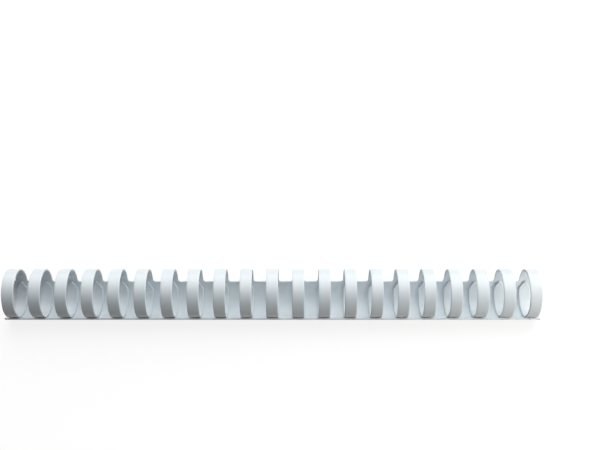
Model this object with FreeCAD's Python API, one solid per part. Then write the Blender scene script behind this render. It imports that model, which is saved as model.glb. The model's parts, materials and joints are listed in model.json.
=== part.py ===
import FreeCAD, Part
import math
import os

# A plastic binding comb: a curved spine with a row of fingers that curl right round and
# tuck in behind it. Millimetres and degrees. X runs along the spine, Z is up, and the comb
# lies on its spine, balanced.
#
# Places along the curled sheet are given as a turn: 0 at the spine's front edge, round the
# underside to the spine's back edge, up and over the fingers, 360 where a finger meets the
# front edge again, and on along the tongue inside the spine.

# ---- driving dimensions ----
ring_count = 21
ring_pitch = 14.2875            # nine sixteenths of an inch, the pitch of comb-punched paper
ring_width = 6.4
curl_radius = 14.0              # outside of the spine, on a 28 mm comb
sheet = 1.0                     # thickness of the plastic
tongue_gap = 0.3                # between the spine's inside and the tongues
spine_overhang = 2.425          # past the end rings, for the 297 mm of an A4 sheet
spine_arc = 124.0               # degrees of the curl that the spine covers
spine_corner = 1.0              # rounding of the spine's four corners
root_fillet = 1.3               # where a finger leaves the spine's back edge
root_arc = 26.0                 # degrees from the spine's back edge to the first flexing line
crown_arc = 70.0                # degrees between the two flexing lines
tongue_overlap = 2.5            # degrees that a tongue's tip goes past the spine's back edge
taper_length = 4.6              # from a tongue's full width to its tip
nose_radius = 1.0               # rounding of the tip

# ---- sizes that follow ----
half_ring = ring_width / 2
spine_length = (ring_count - 1) * ring_pitch + ring_width + 2 * spine_overhang
middle_radius = curl_radius - sheet / 2                 # middle of the sheet round the spine
tuck = (sheet + tongue_gap) / 2                         # how far off the half circle's centre is
tongue_radius = middle_radius - 2 * tuck
shoulder_turn = spine_arc + root_arc                    # first flexing line
crown_turn = shoulder_turn + crown_arc                  # second flexing line
tip_turn = 360 + spine_arc + tongue_overlap
taper_arc = math.degrees(taper_length / tongue_radius)
ring_centres = [(n - (ring_count - 1) / 2) * ring_pitch for n in range(ring_count)]


def direction(turn):
    """Unit vector outwards at a turn, with the middle of the spine straight down."""
    angle = math.radians(turn - spine_arc / 2 - 90)
    return FreeCAD.Vector(0, math.cos(angle), math.sin(angle))


def sheet_point(turn, offset):
    """Point of the curled sheet's section, offset outwards from the sheet's middle.

    The curl is three arcs: round the curl's centre for the first half turn, then a half
    circle whose centre is off by one tuck, then a smaller arc round the curl's centre.
    """
    if turn <= 180:
        return direction(turn) * (middle_radius + offset)
    if turn <= 360:
        return direction(180) * tuck + direction(turn) * (middle_radius - tuck + offset)
    return direction(turn) * (tongue_radius + offset)


def curl_arcs(first, last, offset):
    """Edges along the curled sheet from one turn to another, in either direction."""
    joints = [turn for turn in (180, 360) if min(first, last) < turn < max(first, last)]
    stops = [first, *sorted(joints, reverse=first > last), last]
    edges = []
    for start, end in zip(stops, stops[1:]):
        middle = sheet_point((start + end) / 2, offset)
        edges.append(Part.Arc(sheet_point(start, offset), middle, sheet_point(end, offset)).toShape())
    return edges


def strip(first, last, middle_x, width):
    """A length of the curled sheet between two turns."""
    half = sheet / 2
    outside = curl_arcs(first, last, half)
    inside = curl_arcs(last, first, -half)
    last_edge = Part.makeLine(sheet_point(last, half), sheet_point(last, -half))
    first_edge = Part.makeLine(sheet_point(first, -half), sheet_point(first, half))
    section = Part.Face(Part.Wire([*outside, last_edge, *inside, first_edge]))
    section.translate(FreeCAD.Vector(middle_x - width / 2, 0, 0))
    return section.extrude(FreeCAD.Vector(width, 0, 0))


def stamp(turn, middle_x, outline):
    """A cutter: an outline pushed out through the sheet at a turn.

    The outline's points are (along the sheet, across it). Three points in a tuple are an arc.
    """
    outward = direction(turn)
    along = direction(turn + 90)

    def place(point):
        return along * point[0] + FreeCAD.Vector(middle_x + point[1], 0, 0)

    edges = []
    pen = outline[-1]
    for stretch in outline:
        if isinstance(stretch[0], tuple):
            edges.append(Part.makeLine(place(pen), place(stretch[0])))
            edges.append(Part.Arc(*[place(point) for point in stretch]).toShape())
            pen = stretch[-1]
        else:
            edges.append(Part.makeLine(place(pen), place(stretch)))
            pen = stretch
    return Part.Face(Part.Wire(edges)).extrude(outward * (2 * curl_radius))


def make_spine():
    """The curved back of the comb, with its corners rounded."""
    spine = strip(0, spine_arc, 0, spine_length)
    corners = [edge for edge in spine.Edges if abs(edge.Length - sheet) < 1e-6]
    return spine.makeFillet(spine_corner, corners)


def make_root(middle_x):
    """The filleted foot of a finger, from the spine's back edge to the first flexing line."""
    foot = half_ring + root_fillet
    waist = root_fillet * (1 - math.sqrt(0.5))
    below = -sheet
    beyond = curl_radius
    outline = [
        (below, -foot),
        ((0.0, -foot), (waist, -half_ring - waist), (root_fillet, -half_ring)),
        (beyond, -half_ring),
        (beyond, half_ring),
        ((root_fillet, half_ring), (waist, half_ring + waist), (0.0, foot)),
        (below, foot),
    ]
    blank = strip(spine_arc, shoulder_turn, middle_x, 2 * foot)
    return blank.common(stamp(spine_arc, middle_x, outline)).Solids[0]


def make_crown(middle_x):
    """The stretch of a finger between its two flexing lines."""
    return strip(shoulder_turn, crown_turn, middle_x, ring_width)


def make_tongue(middle_x):
    """The rest of a finger: down the front and in behind the spine, to its pointed tip."""
    taper_turn = tip_turn - taper_arc
    nose_centre = taper_length / 2 - nose_radius
    reach = taper_length - nose_radius
    fall = math.atan2(half_ring, reach) - math.asin(nose_radius / math.hypot(reach, half_ring))
    touch = (nose_centre + nose_radius * math.sin(fall), nose_radius * math.cos(fall))
    outline = [
        (-taper_length, -half_ring),
        (-taper_length / 2, -half_ring),
        ((touch[0], -touch[1]), (taper_length / 2, 0.0), touch),
        (-taper_length / 2, half_ring),
        (-taper_length, half_ring),
    ]
    blank = strip(taper_turn, tip_turn + taper_arc / 2, middle_x, ring_width)
    tip = blank.common(stamp(tip_turn - taper_arc / 2, middle_x, outline))
    body = strip(crown_turn, taper_turn, middle_x, ring_width)
    return body.fuse(tip).removeSplitter().Solids[0]


def make_nodes():
    """Every node of the comb, with the middle of the spine straight down."""
    nodes = {"spine": make_spine()}
    nodes["ring_roots"] = Part.makeCompound([make_root(x) for x in ring_centres])
    for number, x in enumerate(ring_centres, start=1):
        nodes[f"ring_{number:02d}_crown"] = make_crown(x)
        nodes[f"ring_{number:02d}_tongue"] = make_tongue(x)
    return nodes


def resting_place(shapes):
    """Turn and shift that lay the comb down balanced, its box centred over the origin."""
    solids = [solid for shape in shapes for solid in shape.Solids]
    volume = sum(solid.Volume for solid in solids)
    balance = sum((solid.CenterOfMass * solid.Volume for solid in solids), FreeCAD.Vector()) / volume
    roll = -90 - math.degrees(math.atan2(balance.z, balance.y))
    place = FreeCAD.Placement(FreeCAD.Vector(), FreeCAD.Rotation(FreeCAD.Vector(1, 0, 0), roll))
    box = FreeCAD.BoundBox()
    for shape in shapes:
        box.add(shape.transformed(place.toMatrix()).optimalBoundingBox(False))
    place.Base = FreeCAD.Vector(0, -box.Center.y, -box.ZMin)
    return place


def main():
    os.makedirs("parts", exist_ok=True)
    nodes = make_nodes()
    place = resting_place(list(nodes.values()))
    for name, shape in nodes.items():
        shape.transformed(place.toMatrix(), True).exportStep(f"parts/{name}.step")
    print(f"{len(nodes)} nodes, rolled {place.Rotation.Angle * 57.29578:.2f} degrees about {place.Rotation.Axis},"
          f" curl centre at {place.Base}")


main()
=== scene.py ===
import json
import math

import bpy
import numpy as np
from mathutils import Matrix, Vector


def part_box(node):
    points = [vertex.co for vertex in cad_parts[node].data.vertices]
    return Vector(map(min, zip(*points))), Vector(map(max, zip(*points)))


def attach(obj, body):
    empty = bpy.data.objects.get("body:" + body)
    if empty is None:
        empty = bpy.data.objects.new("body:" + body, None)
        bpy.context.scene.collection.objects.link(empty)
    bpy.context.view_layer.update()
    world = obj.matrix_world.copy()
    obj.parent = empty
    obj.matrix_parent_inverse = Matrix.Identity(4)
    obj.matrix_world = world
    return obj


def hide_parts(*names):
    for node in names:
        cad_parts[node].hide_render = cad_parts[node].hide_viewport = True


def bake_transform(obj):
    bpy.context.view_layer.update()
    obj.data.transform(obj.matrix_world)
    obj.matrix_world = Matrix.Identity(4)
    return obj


# A white plastic binding comb, shown closed: a curved spine and a row of curled fingers.
# Metres and degrees. X runs along the spine, Z is up. A turn is a place along the curled
# sheet: 0 at the spine's front edge, round underneath to its back edge, up and over the
# finger, 360 where the finger meets the front edge again, and on along the tongue inside.

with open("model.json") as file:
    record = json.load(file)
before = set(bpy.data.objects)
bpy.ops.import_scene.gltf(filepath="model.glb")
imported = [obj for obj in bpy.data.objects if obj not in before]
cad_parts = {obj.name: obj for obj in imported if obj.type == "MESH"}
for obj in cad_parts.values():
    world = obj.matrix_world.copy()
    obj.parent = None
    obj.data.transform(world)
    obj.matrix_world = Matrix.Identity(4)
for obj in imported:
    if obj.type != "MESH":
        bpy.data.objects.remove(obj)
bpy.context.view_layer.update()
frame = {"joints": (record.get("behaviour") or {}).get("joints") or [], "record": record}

# ---- sizes of the plastic that the frame doesn't state ----
SHEET = 0.0010                  # thickness
SPINE_CORNER = 0.0010           # rounding of the spine's four corners
ROOT_FILLET = 0.0013            # where a finger leaves the spine's back edge
TAPER_LENGTH = 0.0046           # from a tongue's full width to its tip
NOSE_RADIUS = 0.0010            # rounding of that tip
NOSE_FLAT = 4.0                 # degrees each side of the tip that are left straight
CUT_ROUNDING = 0.00022          # softness of the punched edges
CREASE = 40.0                   # degrees past which two faces meet in a sharp line

# ---- places read from the frame ----
JOINTS = {joint["child"]: joint for joint in frame["joints"]}
RING_NUMBERS = sorted(name.split("_")[1] for name in JOINTS if name.startswith("crown_"))
MOUNTS = {mount["name"]: mount for mount in frame["record"]["mounts"]}
CURL_CENTRE = np.array(MOUNTS["punched_sheets"]["pos_m"])
SPINE_LOW, SPINE_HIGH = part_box("spine")
TONGUE_LOW, TONGUE_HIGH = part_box(f"ring_{RING_NUMBERS[0]}_tongue")
CROWN_LOW, CROWN_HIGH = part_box(f"ring_{RING_NUMBERS[0]}_crown")
RING_WIDTH = CROWN_HIGH.x - CROWN_LOW.x
SPINE_LENGTH = SPINE_HIGH.x - SPINE_LOW.x
CURL_RADIUS = CURL_CENTRE[2] - SPINE_LOW.z              # outside of the spine
TONGUE_OUTSIDE = CURL_CENTRE[2] - TONGUE_LOW.z          # outside of a tongue, in the spine
TUCK = (CURL_RADIUS - TONGUE_OUTSIDE) / 2               # how far off the half circle's centre is
MIDDLE_RADIUS = CURL_RADIUS - SHEET / 2                 # middle of the sheet round the spine

# ---- the same places as turns ----

def angle_to(reach, radius):
    """Degrees from level at which a circle has reached so far out."""
    return math.degrees(math.acos(reach / radius))


FRONT_ANGLE = angle_to(CURL_CENTRE[1] - SPINE_LOW.y, CURL_RADIUS) - 180
SPINE_TURN = -FRONT_ANGLE - angle_to(SPINE_HIGH.y - CURL_CENTRE[1], CURL_RADIUS)
TIP_TURN = 360 - FRONT_ANGLE - angle_to(TONGUE_HIGH.y - CURL_CENTRE[1], TONGUE_OUTSIDE)


def turn_of(joint):
    """Turn of a finger's flexing line, from its place round the curl's centre."""
    _, y, z = np.array(joint["pos_m"]) - CURL_CENTRE
    return math.degrees(math.atan2(z, y)) - FRONT_ANGLE


ROOT_FLEX = turn_of(JOINTS[f"crown_{RING_NUMBERS[0]}"])
CROWN_FLEX = turn_of(JOINTS[f"tongue_{RING_NUMBERS[0]}"])
SEAM_TURN = (ROOT_FLEX + CROWN_FLEX) / 2                # where a finger's two pieces meet

# ---- how finely the sheet is divided ----
SPINE_ROWS = 44                 # from the spine's front edge to its back edge
FINGER_ROWS = 8                 # across a finger
ROOT_STEPS = 30                 # along a finger's root
CURL_STEPS = 150                # along the rest of it, as far as the taper
CORNER_STEPS = 8                # round a quarter turn of the outline
SEAM_STEPS = 6                  # along the seam at a finger's foot
NOSE_STEPS = 7                  # round half the nose
SLOPE_STEPS = 9                 # along each slope of the taper
EDGE_STEPS = 5                  # round a quarter turn of a cut edge

# ---- where the fingers bend ----
ROOT_BEND_START = 8.0           # degrees of turn past the spine's back edge

# ---- camera, floor and light ----
CAMERA_LENS = 50.83             # millimetres
CAMERA_SENSOR = 36.0            # millimetres wide
CAMERA_DISTANCE = 0.4715
CAMERA_RIGHT = 0.0152
CAMERA_HEIGHT_ANGLE = 64.4      # degrees above the floor, as seen from the comb
CAMERA_TILT_UP = 4.68
FLOOR_HALF = 3.0                # from its middle to its edge
FLOOR_LINES = 13                # each way in its grid
FLOOR_SHADE = (0.17, 0.17, 0.17, 1.0)
FLOOR_TINT = (0.19, 0.19, 0.19, 1.0)
FLOOR_GLOW = 0.83               # the table is lit from below
LAMPS = {                       # place, width, height, watts, colour
    "high_back_lamp": ((0.14, 0.47, 0.87), 1.5, 0.7, 6.85, (0.99, 1.0, 1.0)),
    "low_back_lamp": ((0.10, 0.87, 0.50), 1.5, 0.5, 6.9, (1.0, 0.985, 0.97)),
    "top_lamp": ((0.0, 0.0, 1.0), 0.9, 0.7, 1.7, (0.99, 1.0, 1.0)),
    "front_lamp": ((0.05, -0.70, 0.70), 0.9, 0.6, 0.48, (1.0, 1.0, 1.0)),
    "right_lamp": ((0.85, 0.25, 0.45), 0.4, 0.4, 0.35, (1.0, 0.99, 0.98)),
    "right_card": ((0.33, -0.15, 0.12), 0.16, 0.12, 0.60, (1.0, 0.95, 0.90)),
}
ROOM_COLOUR = (0.97, 0.975, 0.98, 1.0)


# ---------------------------------------------------------------------------------------
# The curled sheet
# ---------------------------------------------------------------------------------------

def curl_points(x, turn, offset):
    """Places on the curled sheet, offset outwards from the middle of its thickness.

    The place at a turn is centre + radius * (cos a, sin a), with a = turn + the front edge's
    angle. Up to turn 180 that is the spine's circle. From 180 to 360 the radius is one tuck
    less and the centre lies one tuck along the direction of turn 180, and past 360 the
    radius is two tucks less, round the curl's centre again.
    """
    angle = np.radians(turn + FRONT_ANGLE)
    half_way = math.radians(180 + FRONT_ANGLE)
    tucks = np.select([turn <= 180, turn <= 360], [0.0, 1.0], 2.0)
    shift = np.where(tucks == 1, TUCK, 0.0)
    radius = MIDDLE_RADIUS - tucks * TUCK + offset
    y = CURL_CENTRE[1] + shift * math.cos(half_way) + radius * np.cos(angle)
    z = CURL_CENTRE[2] + shift * math.sin(half_way) + radius * np.sin(angle)
    return np.stack(np.broadcast_arrays(CURL_CENTRE[0] + x, y, z), axis=-1)


def along_turn(turn):
    """Length of the sheet from the spine's front edge to a turn, along its middle."""
    stretches = [(180, MIDDLE_RADIUS), (360, MIDDLE_RADIUS - TUCK), (np.inf, MIDDLE_RADIUS - 2 * TUCK)]
    length, before = 0.0, 0.0
    for limit, radius in stretches:
        part = np.clip(turn, before, limit) - before
        length = length + np.radians(part) * radius
        before = limit
    return length


def turn_along(length):
    """The turn at a length of the sheet: along_turn the other way round."""
    turns = np.linspace(0.0, 540.0, 5401)               # tenths of a degree, well past the tip
    return np.interp(length, along_turn(turns), turns)


def edge(x, along, normal_x, normal_along, rounding=CUT_ROUNDING):
    """A stretch of a cut edge: places on the flat sheet, the way each faces, its rounding."""
    columns = np.broadcast_arrays(x, along, normal_x, normal_along, rounding)
    return np.stack(columns, axis=-1).astype(float)


def round_edge(centre_x, centre_along, radius, angles, facing=1):
    """A round stretch of cut edge: centre + radius * (cos a, sin a), facing out or in."""
    across, ahead = np.cos(np.radians(angles)), np.sin(np.radians(angles))
    x, along = centre_x + radius * across, centre_along + radius * ahead
    return edge(x, along, facing * across, facing * ahead)


def rounded_band(outline, facing):
    """The cut edge all round an outline, as rows of flat places and their offsets.

    At an angle a from the face a row stands r * sin a past the outline and r * (1 - cos a)
    below the face, for a quarter turn, and the same again up from the other face.
    """
    angles = np.radians(np.linspace(0.0, 90.0, EDGE_STEPS))[1:]
    stands_out = np.concatenate([np.sin(angles), np.sin(angles[::-1])])
    below = 1 - np.cos(angles)
    depth = SHEET / 2 - CUT_ROUNDING * below
    band = outline + facing[:, :2] * facing[:, 2:] * stands_out[:, None, None]
    return band, np.concatenate([depth, -depth[::-1]])


def shell_quads(index, loop, bands):
    """Faces of a closed shell: the outside, the inside, and the rim of bands between them.

    index numbers the outside's points, the inside's follow on, and then the rim's, row by row.
    """
    a, b, c, d = index[:-1, :-1], index[1:, :-1], index[1:, 1:], index[:-1, 1:]
    outside = np.stack([a, b, c, d], axis=-1).reshape(-1, 4)
    inside = outside[:, ::-1] + index.size
    rim_rows = 2 * index.size + np.arange(bands * len(loop)).reshape(bands, -1)
    rings = np.concatenate([loop[None], rim_rows, loop[None] + index.size])
    ahead = np.roll(rings, -1, axis=1)
    rim = np.stack([rings[:-1], rings[1:], ahead[1:], ahead[:-1]], axis=-1).reshape(-1, 4)
    return np.concatenate([outside, inside, rim])


def cut_sheet(name, one_side, other_side, rows, first_end, last_end):
    """A closed piece of the curled sheet, cut along two sides and two ends.

    On the flat sheet its face is ruled between the sides: P(k, t) = (1 - t) * one side's
    point k + t * the other side's. The face is drawn in from the edge by its rounding, a
    rounded band goes round it, and everything is then curled by curl_points. A side is rows
    from edge. An end is the last three of such a row: the way it faces, across and along the
    sheet, and its rounding. Rounding 0 leaves a flat seam.
    """
    sides = np.stack([one_side, other_side])
    drawn_in = sides[..., :2] - sides[..., 2:4] * sides[..., 4:]
    share = np.linspace(0.0, 1.0, rows)[None, :, None]
    face = (drawn_in[0][:, None] * (1 - share) + drawn_in[1][:, None] * share).reshape(-1, 2)
    index = np.arange(len(face)).reshape(len(one_side), rows)
    loop = np.concatenate([index[:, 0], index[-1, 1:-1], index[::-1, -1], index[0, -2:0:-1]])
    facing = np.concatenate([
        one_side[:, 2:], np.tile(last_end, (rows - 2, 1)),
        other_side[::-1, 2:], np.tile(first_end, (rows - 2, 1)),
    ])
    band, band_offset = rounded_band(face[loop], facing)

    flat = np.concatenate([face, face, band.reshape(-1, 2)])
    face_offset = np.full(len(face), SHEET / 2)
    offset = np.concatenate([face_offset, -face_offset, np.repeat(band_offset, len(loop))])
    cut = np.concatenate([np.zeros(2 * len(face)), np.ones(band.shape[0] * len(loop))])
    points = curl_points(flat[:, 0], turn_along(flat[:, 1]), offset)
    quads = shell_quads(index, loop, len(band))
    if enclosed_volume(points, quads) < 0:
        quads = quads[:, ::-1]

    mesh = bpy.data.meshes.new(name)
    mesh.from_pydata(points, [], quads.tolist())
    mesh.attributes.new("flat_sheet", "FLOAT_VECTOR", "POINT").data.foreach_set(
        "vector", np.column_stack([flat, offset]).astype(np.float32).ravel())
    mesh.attributes.new("cut_edge", "FLOAT", "POINT").data.foreach_set("value", cut.astype(np.float32))
    mesh.shade_smooth()
    mesh.set_sharp_from_angle(angle=math.radians(CREASE))
    mesh.validate()
    piece = bpy.data.objects.new(name, mesh)
    bpy.context.scene.collection.objects.link(piece)
    return piece


def enclosed_volume(points, quads):
    """Signed volume inside a closed mesh: a sixth of the sum of each triangle's a . (b x c)."""
    triangles = np.concatenate([quads[:, [0, 1, 2]], quads[:, [0, 2, 3]]])
    a, b, c = (points[triangles[:, corner]] - points.mean(axis=0) for corner in range(3))
    return np.einsum("ij,ij->", a, np.cross(b, c)) / 6


# ---------------------------------------------------------------------------------------
# The comb's pieces
# ---------------------------------------------------------------------------------------

def make_spine(ring_centres):
    """The curved back, with the filleted foot of every finger along its back edge."""
    back = along_turn(SPINE_TURN)
    half_length, half_ring = SPINE_LENGTH / 2, RING_WIDTH / 2
    corner = half_length - SPINE_CORNER
    quarter = np.linspace(0.0, 90.0, CORNER_STEPS)
    half_seam = half_ring - 1.5 * CUT_ROUNDING          # clear of the rounded edge at each side
    flat_seam = np.linspace(-half_seam, half_seam, SEAM_STEPS)

    back_edge = [round_edge(-corner, back - SPINE_CORNER, SPINE_CORNER, 180 - quarter)]
    for x in ring_centres:
        left, right = x - half_ring - ROOT_FILLET, x + half_ring + ROOT_FILLET
        back_edge += [
            round_edge(left, back + ROOT_FILLET, ROOT_FILLET, quarter - 90, facing=-1),
            edge(x + flat_seam, back + ROOT_FILLET, 0.0, 1.0, rounding=0.0),
            round_edge(right, back + ROOT_FILLET, ROOT_FILLET, 180 + quarter, facing=-1),
        ]
    back_edge.append(round_edge(corner, back - SPINE_CORNER, SPINE_CORNER, 90 - quarter))
    back_edge = np.concatenate(back_edge)

    straight = back_edge[len(quarter):-len(quarter)]    # each place faces one on the front edge
    front_edge = np.concatenate([
        round_edge(-corner, SPINE_CORNER, SPINE_CORNER, 180 + quarter),
        edge(straight[:, 0] - straight[:, 2] * straight[:, 4], 0.0, 0.0, -1.0),
        round_edge(corner, SPINE_CORNER, SPINE_CORNER, 270 + quarter),
    ])
    return cut_sheet("comb_spine", front_edge, back_edge, SPINE_ROWS,
                     first_end=(-1.0, 0.0, CUT_ROUNDING), last_end=(1.0, 0.0, CUT_ROUNDING))


def make_finger_root(number, x):
    """A finger from the spine's foot over the first flexing line, to the middle of its crown."""
    start, end = along_turn(SPINE_TURN) + ROOT_FILLET, along_turn(SEAM_TURN)
    along = np.linspace(start, end, ROOT_STEPS)
    left = edge(x - RING_WIDTH / 2, along, -1.0, 0.0)
    right = edge(x + RING_WIDTH / 2, along, 1.0, 0.0)
    return cut_sheet(f"finger_{number}_root", left, right, FINGER_ROWS,
                     first_end=(0.0, -1.0, 0.0), last_end=(0.0, 1.0, 0.0))


def make_finger_curl(number, x):
    """The rest of a finger: over the second flexing line, down the front, and in to its tip.

    The tip tapers straight to a round nose, whose circle both slopes touch. At an angle a from
    the tip the nose is at x = radius * sin a, and radius * (1 - cos a) short of the tip.
    """
    half_ring = RING_WIDTH / 2
    start, tip = along_turn(SEAM_TURN), along_turn(TIP_TURN)
    reach = TAPER_LENGTH - NOSE_RADIUS
    slope = math.atan2(half_ring, reach) - math.asin(NOSE_RADIUS / math.hypot(reach, half_ring))
    shoulder = tip - TAPER_LENGTH
    body_end = shoulder - 2 * CUT_ROUNDING              # clear of the corner at the shoulder
    body = np.linspace(start, body_end, CURL_STEPS)
    nose = np.linspace(math.pi / 2 - slope, math.radians(NOSE_FLAT), NOSE_STEPS)
    nose_x = NOSE_RADIUS * np.sin(nose)
    nose_along = tip - NOSE_RADIUS + NOSE_RADIUS * np.cos(nose)
    share = np.linspace(0.0, 1.0, SLOPE_STEPS)[1:-1]
    slope_x = half_ring + (nose_x[0] - half_ring) * share
    slope_along = shoulder + (nose_along[0] - shoulder) * share

    def side(sign):
        """The strip's left side, with -1, or its right side, with 1: body, slope, half the nose."""
        return np.concatenate([
            edge(x + sign * half_ring, body, sign, 0.0),
            edge(x + sign * slope_x, slope_along, sign * math.cos(slope), math.sin(slope)),
            edge(x + sign * nose_x, nose_along, sign * np.sin(nose), np.cos(nose)),
        ])

    return cut_sheet(f"finger_{number}_curl", side(-1), side(1), FINGER_ROWS,
                     first_end=(0.0, -1.0, 0.0), last_end=(0.0, 1.0, CUT_ROUNDING))


# ---------------------------------------------------------------------------------------
# The finish
# ---------------------------------------------------------------------------------------

class Value:
    """An output in a finish. Arithmetic on it adds the Math nodes that work it out."""

    def __init__(self, finish, socket):
        self.finish = finish
        self.socket = socket

    def maths(self, operation, first, second):
        return self.finish.node("Math", {"operation": operation}, {0: first, 1: second})

    def __add__(self, other):
        return self.maths("ADD", self, other)

    def __sub__(self, other):
        return self.maths("SUBTRACT", self, other)

    def __rsub__(self, other):
        return self.maths("SUBTRACT", other, self)

    def __mul__(self, other):
        return self.maths("MULTIPLY", self, other)

    __radd__ = __add__
    __rmul__ = __mul__


class Finish:
    """A material under way."""

    def __init__(self, name):
        self.material = bpy.data.materials.new(name)
        self.material.use_nodes = True
        self.tree = self.material.node_tree
        self.tree.nodes.clear()

    def node(self, kind, settings, inputs, output=0):
        """Adds a node: its settings first, then its sockets, each a number or a Value."""
        made = self.tree.nodes.new("ShaderNode" + kind)
        for name, value in settings.items():
            setattr(made, name, value)
        for name, value in inputs.items():
            if isinstance(value, Value):
                self.tree.links.new(value.socket, made.inputs[name])
            else:
                made.inputs[name].default_value = value
        return Value(self, made.outputs[output])

    def noise(self, place, scale, detail, roughness=0.5):
        """Soft noise from about -0.5 to 0.5 at a place, with so many grains to a metre."""
        stretched = self.node("VectorMath", {"operation": "MULTIPLY"}, {0: place, 1: scale})
        return self.node("TexNoise", {}, {
            "Vector": stretched, "Scale": 1.0, "Detail": detail, "Roughness": roughness}) - 0.5

    def mix(self, share, first, second):
        """One colour turning into another as share goes from 0 to 1."""
        return self.node("Mix", {"data_type": "RGBA"}, {0: share, 6: first, 7: second}, output=2)

    def surfaced(self, shader):
        """The finished material, with this shader on its surface."""
        end = self.tree.nodes.new("ShaderNodeOutputMaterial")
        self.tree.links.new(shader.socket, end.inputs["Surface"])
        return self.material


def satin_plastic():
    """White calendered PVC: a faint cool tint, lines drawn along the strip, and cut edges painted
    lighter, partly as chalky punched plastic and partly as a painted highlight.
    """
    finish = Finish("satin_white_plastic")
    place = finish.node("Attribute", {"attribute_name": "flat_sheet"}, {}, output="Vector")
    cut = finish.node("Attribute", {"attribute_name": "cut_edge"}, {}, output="Fac")
    drawn = finish.noise(place, (5200.0, 60.0, 0.0), 3.0, 0.6)
    cloud = finish.noise(place, (95.0, 95.0, 95.0), 4.0)
    grain = finish.noise(place, (7000.0, 7000.0, 7000.0), 2.0)
    smudge = finish.noise(place, (260.0, 210.0, 260.0), 5.0, 0.65)
    chatter = finish.noise(place, (9000.0, 9000.0, 300.0), 1.0)

    tint = finish.mix(cloud * 1.2 + drawn * 0.6 + 0.5,
                      (0.742, 0.818, 0.866, 1.0), (0.782, 0.846, 0.886, 1.0))
    # The cut edges are painted lighter all round: partly the chalky punched plastic, partly a painted
    # highlight along the rims.
    colour = finish.mix(cut * 0.30, tint, (0.860, 0.880, 0.895, 1.0))
    roughness = 0.36 + smudge * 0.22 + drawn * 0.10 + cut * 0.16
    height = drawn * 0.35 * (1 - cut) + grain * 0.45 + chatter * cut * 0.8
    normal = finish.node("Bump", {}, {
        "Strength": 0.35, "Distance": 0.00002, "Height": height}, output="Normal")
    shader = finish.node("BsdfPrincipled", {}, {
        "Base Color": colour, "Roughness": roughness, "IOR": 1.53, "Normal": normal})
    return finish.surfaced(shader)


# ---------------------------------------------------------------------------------------
# Floor, light and camera
# ---------------------------------------------------------------------------------------

def pale_table():
    """Matt white, very slightly uneven, with light coming through it."""
    finish = Finish("pale_table")
    place = finish.node("TexCoord", {}, {}, output="Object")
    mottle = finish.noise(place, (9.0, 9.0, 9.0), 3.0)
    colour = finish.mix(mottle + 0.5, FLOOR_SHADE, FLOOR_TINT)
    shader = finish.node("BsdfPrincipled", {}, {
        "Base Color": colour, "Roughness": 0.7,
        "Emission Color": (1.0, 1.0, 1.0, 1.0), "Emission Strength": FLOOR_GLOW})
    return finish.surfaced(shader)


def lay_floor():
    """A level table top, as a grid of x and y. The comb takes light from it only in its gloss."""
    lines = np.linspace(-FLOOR_HALF, FLOOR_HALF, FLOOR_LINES)
    x, y = np.meshgrid(lines, lines)
    points = np.stack([x, y, np.zeros_like(x)], axis=-1).reshape(-1, 3)
    index = np.arange(x.size).reshape(x.shape)
    a, b, c, d = index[:-1, :-1], index[:-1, 1:], index[1:, 1:], index[1:, :-1]
    quads = np.stack([a, b, c, d], axis=-1).reshape(-1, 4)
    mesh = bpy.data.meshes.new("floor")
    mesh.from_pydata(points, [], quads.tolist())
    mesh.materials.append(pale_table())
    floor = bpy.data.objects.new("floor", mesh)
    floor.visible_diffuse = False
    bpy.context.scene.collection.objects.link(floor)


def soft_box(name, place, width, height, power, colour):
    """A rectangular lamp facing the middle of the comb. The camera doesn't see it."""
    lamp = bpy.data.lights.new(name, "AREA")
    lamp.shape = "RECTANGLE"
    lamp.size, lamp.size_y = width, height
    lamp.energy = power
    lamp.color = colour
    stand = bpy.data.objects.new(name, lamp)
    stand.location = place
    stand.visible_camera = False
    stand.rotation_euler = (Vector(CURL_CENTRE) - Vector(place)).to_track_quat("-Z", "Y").to_euler()
    bpy.context.scene.collection.objects.link(stand)


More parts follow.
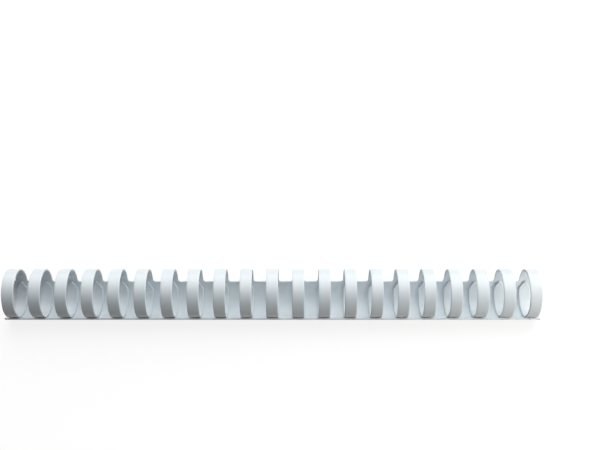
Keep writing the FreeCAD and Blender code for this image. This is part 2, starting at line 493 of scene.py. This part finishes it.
def light_studio():
    """Broad lamps above and behind the comb, weaker ones in front and by its right end.

    The pale room is only what a level view sees behind the comb.
    """
    for name, lamp in LAMPS.items():
        soft_box(name, *lamp)
    world = bpy.data.worlds.new("room")
    world.use_nodes = True
    world.node_tree.nodes["Background"].inputs["Color"].default_value = ROOM_COLOUR
    bpy.context.scene.world = world
    world.cycles_visibility.diffuse = False
    world.cycles_visibility.glossy = False
    bpy.context.scene.view_settings.view_transform = "Standard"


def place_camera():
    """Looks down on the comb from the front, so that it lies low across the picture."""
    lens = bpy.data.cameras.new("camera")
    lens.sensor_width = CAMERA_SENSOR
    lens.lens = CAMERA_LENS
    camera = bpy.data.objects.new("camera", lens)
    sight = math.radians(CAMERA_HEIGHT_ANGLE)
    aim = math.radians(CAMERA_HEIGHT_ANGLE - CAMERA_TILT_UP)
    camera.location = Vector(CURL_CENTRE) + Vector(
        (CAMERA_RIGHT, -CAMERA_DISTANCE * math.cos(sight), CAMERA_DISTANCE * math.sin(sight)))
    ahead = Vector((0.0, math.cos(aim), -math.sin(aim)))
    camera.rotation_euler = ahead.to_track_quat("-Z", "Y").to_euler()
    bpy.context.scene.collection.objects.link(camera)
    bpy.context.scene.camera = camera


# ---------------------------------------------------------------------------------------
# Putting the comb together
# ---------------------------------------------------------------------------------------

def middle_point(x, turn):
    """A place in the middle of the sheet's thickness."""
    return tuple(curl_points(np.array(x), np.array(float(turn)), 0.0))


def assemble():
    """Makes every piece, and joins the spine to the body that carries it."""
    plastic = satin_plastic()
    centres = {number: JOINTS[f"crown_{number}"]["pos_m"][0] for number in RING_NUMBERS}
    spine = make_spine(centres.values())
    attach(spine, "back")
    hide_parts("spine", "ring_roots")
    pieces = [spine]

    root_bend = SPINE_TURN + ROOT_BEND_START
    up = curl_points(np.array(0.0), np.array(180.0), 0.0) - CURL_CENTRE
    up = up / np.linalg.norm(up)
    for number, x in centres.items():
        root = make_finger_root(number, x)
        middle_point(x, root_bend)
        middle_point(x, 2 * ROOT_FLEX - root_bend)
        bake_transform(root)
        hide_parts(f"ring_{number}_crown")
        curl = make_finger_curl(number, x)
        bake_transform(curl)
        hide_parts(f"ring_{number}_tongue")
        pieces += [root, curl]

    for piece in pieces:
        piece.data.materials.append(plastic)


place_camera()
lay_floor()
light_studio()
assemble()
